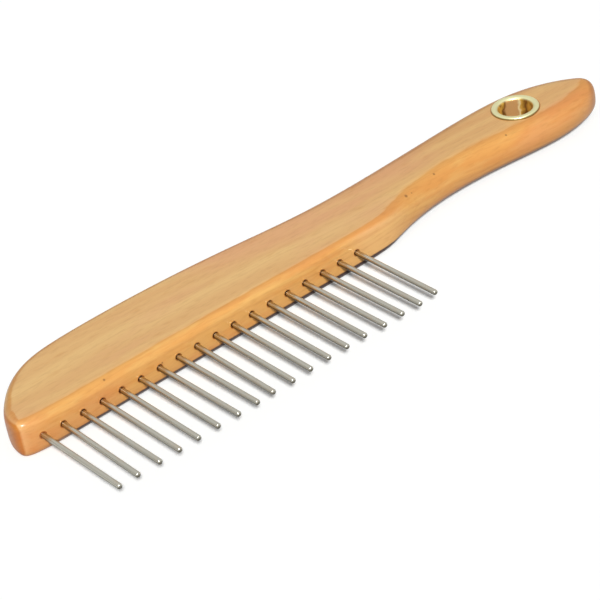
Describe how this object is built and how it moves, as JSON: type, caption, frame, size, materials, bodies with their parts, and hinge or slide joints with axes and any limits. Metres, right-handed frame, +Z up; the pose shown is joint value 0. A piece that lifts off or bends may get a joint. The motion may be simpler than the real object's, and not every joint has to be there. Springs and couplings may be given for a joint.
{
  "type": "sweater comb",
  "caption": "Flat hardwood comb with a straight row of round steel pins, a shaped grip handle and a brass hanging eyelet, for lifting pills and fluff from knitwear.",
  "frame": {"origin": "middle of the whole comb's box in plan, at the face that rests on a table", "axes": "+X from the nose to the handle's end, +Y from the pins to the back edge, +Z up out of the face with the eyelet's flange"},
  "size_m": [0.1886, 0.0546, 0.0105],
  "materials": {
    "beech": "clear satin varnish",
    "pin_steel": "nickel plated, drawn",
    "brass": "bright pressed"
  },
  "bodies": {
    "root": {"board": "beech", "pin_01": "pin_steel", "pin_02": "pin_steel", "pin_03": "pin_steel", "pin_04": "pin_steel", "pin_05": "pin_steel", "pin_06": "pin_steel", "pin_07": "pin_steel", "pin_08": "pin_steel", "pin_09": "pin_steel", "pin_10": "pin_steel", "pin_11": "pin_steel", "pin_12": "pin_steel", "pin_13": "pin_steel", "pin_14": "pin_steel", "pin_15": "pin_steel", "pin_16": "pin_steel", "pin_17": "pin_steel", "pin_18": "pin_steel", "eyelet": "brass", "washer": "brass"}
  },
  "joints": []
}
